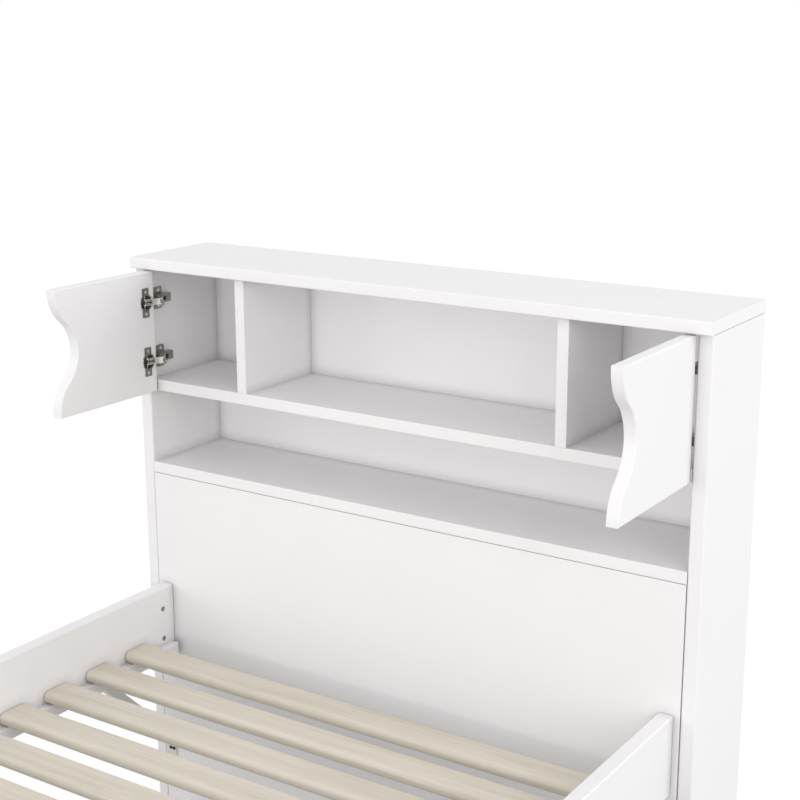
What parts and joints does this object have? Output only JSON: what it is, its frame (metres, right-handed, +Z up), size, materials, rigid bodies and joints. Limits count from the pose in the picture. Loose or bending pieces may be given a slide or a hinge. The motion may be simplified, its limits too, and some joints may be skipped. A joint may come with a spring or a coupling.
{
  "type": "bookcase headboard bed",
  "caption": "Low slatted bed with side rails and a tall bookcase headboard: open shelf, divided upper shelf and two small waved doors on concealed hinges.",
  "frame": {"origin": "on the floor in the centre of the bed's footprint", "axes": "+Z up, +Y towards the back of the headboard, +X to the right seen from the foot of the bed"},
  "size_m": [1.13, 2.198, 1.15],
  "materials": {
    "white_paint": "satin white paint",
    "pine": "plain sanded",
    "beech": "plain",
    "zinc_steel": "zinc plated",
    "nickel_steel": "nickel plated",
    "black_steel": "blackened",
    "grey_paint": "satin grey paint",
    "glide_plastic": "matte"
  },
  "bodies": {
    "bed": {"back_panel": "white_paint", "barrel_nuts": "zinc_steel", "brace_screws": "black_steel", "cam_bolts": "zinc_steel", "cam_locks": "zinc_steel", "dowels": "beech", "floor_glides": "glide_plastic", "footboard_panel": "white_paint", "front_panel": "white_paint", "hinge_arms": "nickel_steel", "hinge_clamp_screws": "black_steel", "hinge_plate_screws": "nickel_steel", "hinge_plates": "nickel_steel", "ledger_screws": "zinc_steel", "left_divider": "white_paint", "left_foot_post": "white_paint", "left_knee_brace": "grey_paint", "left_ledger": "white_paint", "left_side_panel": "white_paint", "left_side_rail": "white_paint", "lower_shelf": "white_paint", "middle_shelf": "white_paint", "rail_bolts": "zinc_steel", "rear_stretcher": "white_paint", "right_divider": "white_paint", "right_foot_post": "white_paint", "right_knee_brace": "grey_paint", "right_ledger": "white_paint", "right_side_panel": "white_paint", "right_side_rail": "white_paint", "slat_01": "pine", "slat_02": "pine", "slat_03": "pine", "slat_04": "pine", "slat_05": "pine", "slat_06": "pine", "slat_07": "pine", "slat_08": "pine", "slat_09": "pine", "slat_10": "pine", "slat_11": "pine", "slat_12": "pine", "slat_13": "pine", "slat_14": "pine", "slat_15": "pine", "slat_16": "pine", "slat_17": "pine", "slat_18": "pine", "slat_screws": "zinc_steel", "top_board": "white_paint"},
    "left_outer_link": {"left_outer_links": "nickel_steel"},
    "left_door": {"left_door": "white_paint", "left_hinge_cups": "nickel_steel", "left_cup_screws": "nickel_steel"},
    "left_inner_link": {"left_inner_links": "nickel_steel"},
    "right_outer_link": {"right_outer_links": "nickel_steel"},
    "right_door": {"right_door": "white_paint", "right_hinge_cups": "nickel_steel", "right_cup_screws": "nickel_steel"},
    "right_inner_link": {"right_inner_links": "nickel_steel"}
  },
  "joints": [
    {"name": "left_outer_link_turn", "type": "hinge", "parent": "bed", "child": "left_outer_link", "pos_m": [-0.50954, 0.89695, 1.014], "axis": [0, 0, 1], "range_deg": [-52.69, 0]},
    {"name": "left_door_turn", "type": "hinge", "parent": "left_outer_link", "child": "left_door", "pos_m": [-0.521, 0.8655, 1.014], "axis": [0, 0, 1], "range_deg": [0, 142.68]},
    {"name": "left_inner_link_turn", "type": "hinge", "parent": "bed", "child": "left_inner_link", "pos_m": [-0.5164, 0.9016, 1.014], "axis": [0, 0, 1], "range_deg": [-54.01, 0]},
    {"name": "right_outer_link_turn", "type": "hinge", "parent": "bed", "child": "right_outer_link", "pos_m": [0.50954, 0.89695, 1.014], "axis": [0, 0, -1], "range_deg": [-52.69, 0]},
    {"name": "right_door_turn", "type": "hinge", "parent": "right_outer_link", "child": "right_door", "pos_m": [0.521, 0.8655, 1.014], "axis": [0, 0, -1], "range_deg": [0, 142.68]},
    {"name": "right_inner_link_turn", "type": "hinge", "parent": "bed", "child": "right_inner_link", "pos_m": [0.5164, 0.9016, 1.014], "axis": [0, 0, -1], "range_deg": [-54.01, 0]}
  ],
  "couplings": [
    {"joint": "left_outer_link_turn", "follows": "left_door_turn", "ratio": -0.36922},
    {"joint": "left_inner_link_turn", "follows": "left_door_turn", "ratio": -0.37847},
    {"joint": "right_outer_link_turn", "follows": "right_door_turn", "ratio": -0.36922},
    {"joint": "right_inner_link_turn", "follows": "right_door_turn", "ratio": -0.37847}
  ]
}
